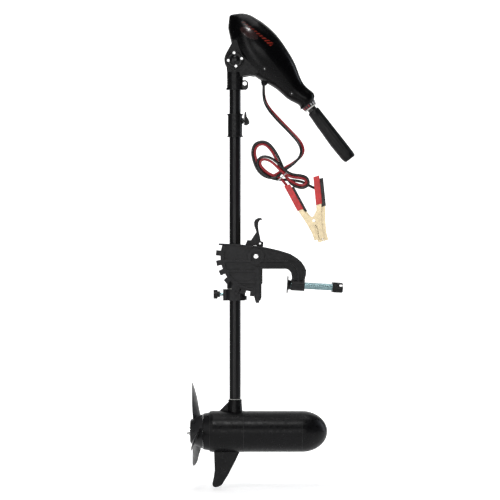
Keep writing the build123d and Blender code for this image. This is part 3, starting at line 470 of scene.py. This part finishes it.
def lathe(name, profile, base, direction, material, body, steps=64):
    """Turned piece: profile is (radius, height) in millimetres, up from base along direction."""
    least_radius = 0.01
    up = Vector(direction).normalized()
    side = up.orthogonal().normalized()
    other = up.cross(side)
    verts = []
    for radius, height in profile:
        for k in range(steps):
            a = 2 * pi * k / steps
            out = side * cos(a) + other * sin(a)
            verts.append(Vector(base) * MM + (out * max(radius, least_radius) + up * height) * MM)
    piece = closed_rings(name, verts, len(profile), steps)
    piece.data.materials.append(material)
    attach(piece, body)
    return piece


def hinge_discs():
    """Rimmed disc with a dome in the middle, on each side of the head's hinge."""
    profile = [(22.4, 0.0), (22.5, 3.2), (22.0, 3.9), (20.4, 4.0), (20.0, 3.9), (19.6, 2.9), (19.0, 2.9),
               (18.6, 3.5), (17.8, 3.8), (13.0, 3.9), (12.4, 3.7), (11.8, 3.2), (11.2, 3.4), (10.2, 4.6),
               (8.6, 6.0), (6.4, 7.0), (3.6, 7.4), (0.0, 7.5)]
    half_width = 31.0
    for tag, side in (("near", -1), ("far", 1)):
        base = (COLUMN_X, side * half_width, HINGE_Z)
        disc = lathe(f"hinge_disc_{tag}", profile, base, (0, side, 0), dome.material, "head")
        if side < 0:
            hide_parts("hinge_discs")


def lead_gland():
    """Ribbed rubber sleeve where the leads leave the head, from its lower end up."""
    profile = [(5.6, 0.0), (6.1, 0.4), (6.4, 2.4), (7.4, 2.8), (7.4, 4.4), (6.9, 4.8), (6.9, 6.2), (8.0, 6.6),
               (8.0, 8.4), (7.4, 8.8), (7.4, 10.2), (8.4, 10.6), (8.4, 12.6), (8.0, 13.5), (7.9, 23.0)]
    gland = lathe("lead_gland", profile, (4.0, 0, 450.9), (0, 0, 1), rubber.material, "head")
    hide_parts("cord_gland")


def pod_seams():
    """Shallow dark lines round the motor, where its castings meet."""
    for name, at, radius in (("front", 97.0, 50.45), ("middle", -46.5, 51.05), ("rear", -129.5, 49.65)):
        profile = [(radius - 0.6, -0.5), (radius, -0.4), (radius, 0.4), (radius - 0.6, 0.5)]
        ring = lathe(f"pod_seam_{name}", profile, (at, 0, MOTOR_Z), (1, 0, 0), seam_dark.material, "column",
                     steps=96)


def socket_ring():
    """Pale ring where the shaft enters the motor's socket."""
    profile = [(14.4, -1.5), (15.9, -1.4), (16.1, 0.0), (15.9, 1.4), (14.4, 1.5)]
    ring = lathe("socket_ring", profile, (COLUMN_X, 0, SOCKET_TOP_Z), (0, 0, 1), nylon.material, "column")


def housing_screws():
    """Small screws in dark recesses, two on each side of the head's housing."""
    cup_profile = [(5.2, -1.2), (5.2, 0.25), (4.6, 0.5), (4.0, 0.1), (3.4, -0.9), (0, -1.0)]
    head_profile = [(2.3, -1.0), (2.3, -0.2), (1.7, 0.3), (0.9, 0.45), (0, 0.45)]
    for name, (x, y, z) in (("front", (4.9, 38.6, 490.3)), ("rear", (71.3, 23.2, 430.0))):
        for tag, side in (("near", -1), ("far", 1)):
            place = (x, side * y, z)
            out = Vector((-0.12, side, -0.35))
            cup = lathe(f"housing_recess_{name}_{tag}", cup_profile, place, out, seam_dark.material, "head",
                        steps=32)
            head = lathe(f"housing_screw_{name}_{tag}", head_profile, place, out, steel.material, "head",
                         steps=24)


# ---------------------------------------------------------------- moulded grip
def smooth(value, low, high):
    t = min(1.0, max(0.0, (value - low) / (high - low)))
    return t * t * (3 - 2 * t)


def between(table, value):
    """Value of a table of (place, amount) rows, smoothly joined."""
    for (a, one), (b, two) in zip(table, table[1:]):
        if value <= b:
            return one + (two - one) * smooth(value, a, b)
    return table[-1][1]


def head_point(along, above, y):
    """Point from its distance down the handle axis, height above it and Y, all in millimetres."""
    upward = Vector((-AXIS.z, 0, AXIS.x))
    return AXIS_START + AXIS * along * MM + upward * above * MM + Vector((0, y * MM, 0))


def handle_grip():
    """Moulded grip: straight top, belly below, a long scooped recess down each side."""
    top = [(7, 12.4), (8.2, 14.4), (12, 15.2), (60, 15.8), (120, 16.6), (150, 16.6), (156, 15.4), (158, 13.0)]
    bottom = [(7, 12.6), (8.2, 14.6), (12, 15.4), (50, 17.0), (105, 18.6), (145, 17.4), (155, 15.4),
              (158, 12.0)]
    start, end, scoop_depth = 7, 158, 1.7
    lengths, steps = 150, 96
    verts = []
    for i in range(lengths + 1):
        t = start + (end - start) * i / lengths
        high, low = between(top, t), between(bottom, t)
        wide = 0.49 * (high + low)
        ends = smooth(t, 15, 28) * (1 - smooth(t, 136, 152))
        for k in range(steps):
            a = 2 * pi * k / steps
            up, out = sin(a), cos(a)
            scoop = scoop_depth * ends * (1 - smooth(abs(up + 0.05), 0.30, 0.52))
            verts.append(head_point(t, (high if up > 0 else low) * up, out * (wide - scoop)))
    piece = closed_rings("handle_grip", verts, lengths + 1, steps)
    piece.data.materials.append(rubber.material)
    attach(piece, "tiller")
    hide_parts("grip")


hinge_discs()
lead_gland()
handle_grip()
pod_seams()
socket_ring()
housing_screws()
